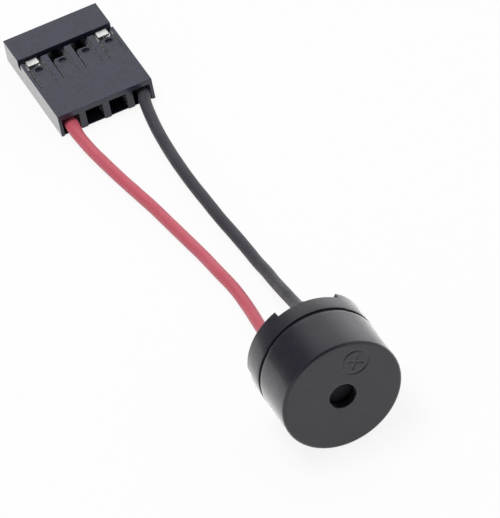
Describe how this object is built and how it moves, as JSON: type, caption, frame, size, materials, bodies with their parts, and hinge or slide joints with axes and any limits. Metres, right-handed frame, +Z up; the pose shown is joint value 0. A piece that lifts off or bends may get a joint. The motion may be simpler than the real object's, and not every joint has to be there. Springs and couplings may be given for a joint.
{
  "type": "motherboard beeper",
  "caption": "Small round black beeper with a sound hole, on two thin flying leads ending in a flat header socket.",
  "frame": {"origin": "under the middle of the beeper, on the surface that its barrel lies on; the leads and their socket are left out of this middle", "axes": "+Z up; +Y along the beeper's axis from its sound face to its feet and on towards the socket; +X to the right when facing the sound face"},
  "size_m": [0.012, 0.0697, 0.012],
  "materials": {
    "case_plastic": "fine satin",
    "cover_plastic": "fine satin",
    "spring_steel": "rolled",
    "ring_plastic": "moulded",
    "magnet": "sintered ferrite",
    "enamelled_copper": "enamelled",
    "core_iron": "plated",
    "board_laminate": "solder mask",
    "solder": "bright",
    "bare_copper": "stranded, bare",
    "red_insulation": "soft satin",
    "black_insulation": "soft satin",
    "tinned_metal": "tin plated",
    "socket_plastic": "moulded satin"
  },
  "bodies": {
    "root": {"buzzer_case": "case_plastic", "rear_cover": "cover_plastic", "diaphragm": "spring_steel", "diaphragm_weight": "spring_steel", "support_ring": "ring_plastic", "ring_magnet": "magnet", "coil_winding": "enamelled_copper", "pole_core": "core_iron", "yoke_plate": "core_iron", "circuit_board": "board_laminate", "positive_coil_lead": "enamelled_copper", "negative_coil_lead": "enamelled_copper", "positive_solder": "solder", "negative_solder": "solder", "red_conductor": "bare_copper", "black_conductor": "bare_copper", "red_wire": "red_insulation", "black_wire": "black_insulation", "red_terminal": "tinned_metal", "black_terminal": "tinned_metal", "socket_housing": "socket_plastic"}
  },
  "joints": []
}
